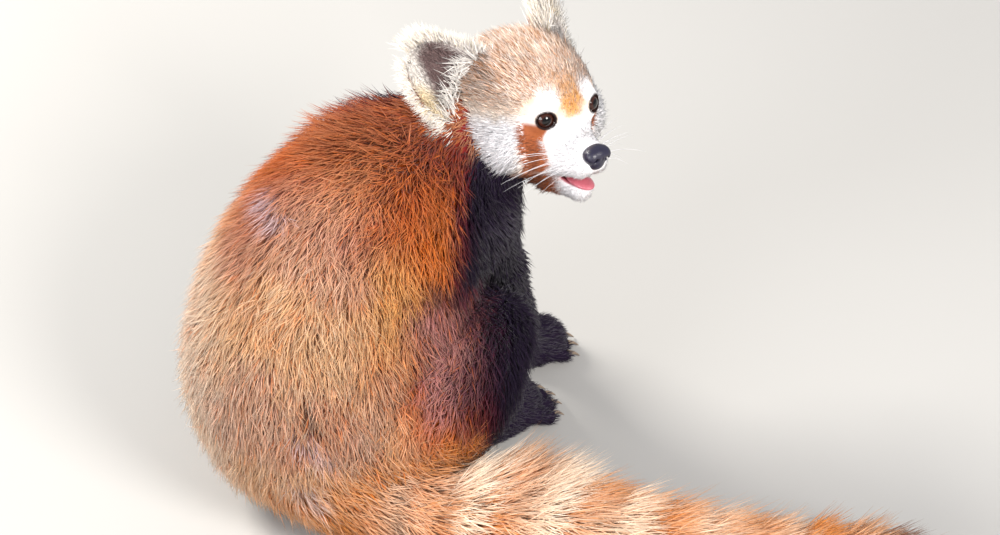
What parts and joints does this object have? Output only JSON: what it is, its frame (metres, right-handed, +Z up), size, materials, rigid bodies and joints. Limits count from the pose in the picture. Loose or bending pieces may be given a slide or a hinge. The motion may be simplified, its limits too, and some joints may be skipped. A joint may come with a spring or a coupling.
{
  "type": "red panda, still life-size model",
  "caption": "Red panda sitting on its haunches and looking back over its right shoulder, mouth a little open, with its ringed bushy tail laid along the floor.",
  "frame": {"origin": "on the floor, in the flat under the rump that the animal sits on", "axes": "+Z is up, +X is the way that the tail lies along the floor, and +Y completes a right-handed frame and points away from the tail"},
  "size_m": [0.5903, 0.4349, 0.3316],
  "materials": {
    "rust_coat": "long guard hairs over dense wool, rust orange with paler tips, soft sheen",
    "black_coat": "dense short hair, purplish black, soft sheen",
    "face_coat": "short dense hair, cream with orange ticking on the crown",
    "ear_coat": "soft long hair, creamy white round a grey brown cup",
    "tail_coat": "long bushy hair in orange and pale rings",
    "nose_leather": "moist black hairless skin, fine pebbled grain, semi gloss",
    "eye_glass": "dark brown iris under a clear wet cornea, high gloss",
    "tongue_skin": "wet pink tongue, semi gloss"
  },
  "bodies": {
    "root": {"ear_left": "ear_coat", "ear_right": "ear_coat", "eye_left": "eye_glass", "eye_right": "eye_glass", "forearm_left": "black_coat", "forearm_right": "black_coat", "forepaw_left": "black_coat", "forepaw_right": "black_coat", "head": "face_coat", "hind_foot_left": "black_coat", "hind_foot_right": "black_coat", "neck": "rust_coat", "nose": "nose_leather", "shin_left": "black_coat", "shin_right": "black_coat", "tail_middle": "tail_coat", "tail_root": "tail_coat", "tail_tip": "tail_coat", "thigh_left": "rust_coat", "thigh_right": "rust_coat", "tongue": "tongue_skin", "torso": "rust_coat", "upper_arm_left": "black_coat", "upper_arm_right": "black_coat"}
  },
  "joints": []
}
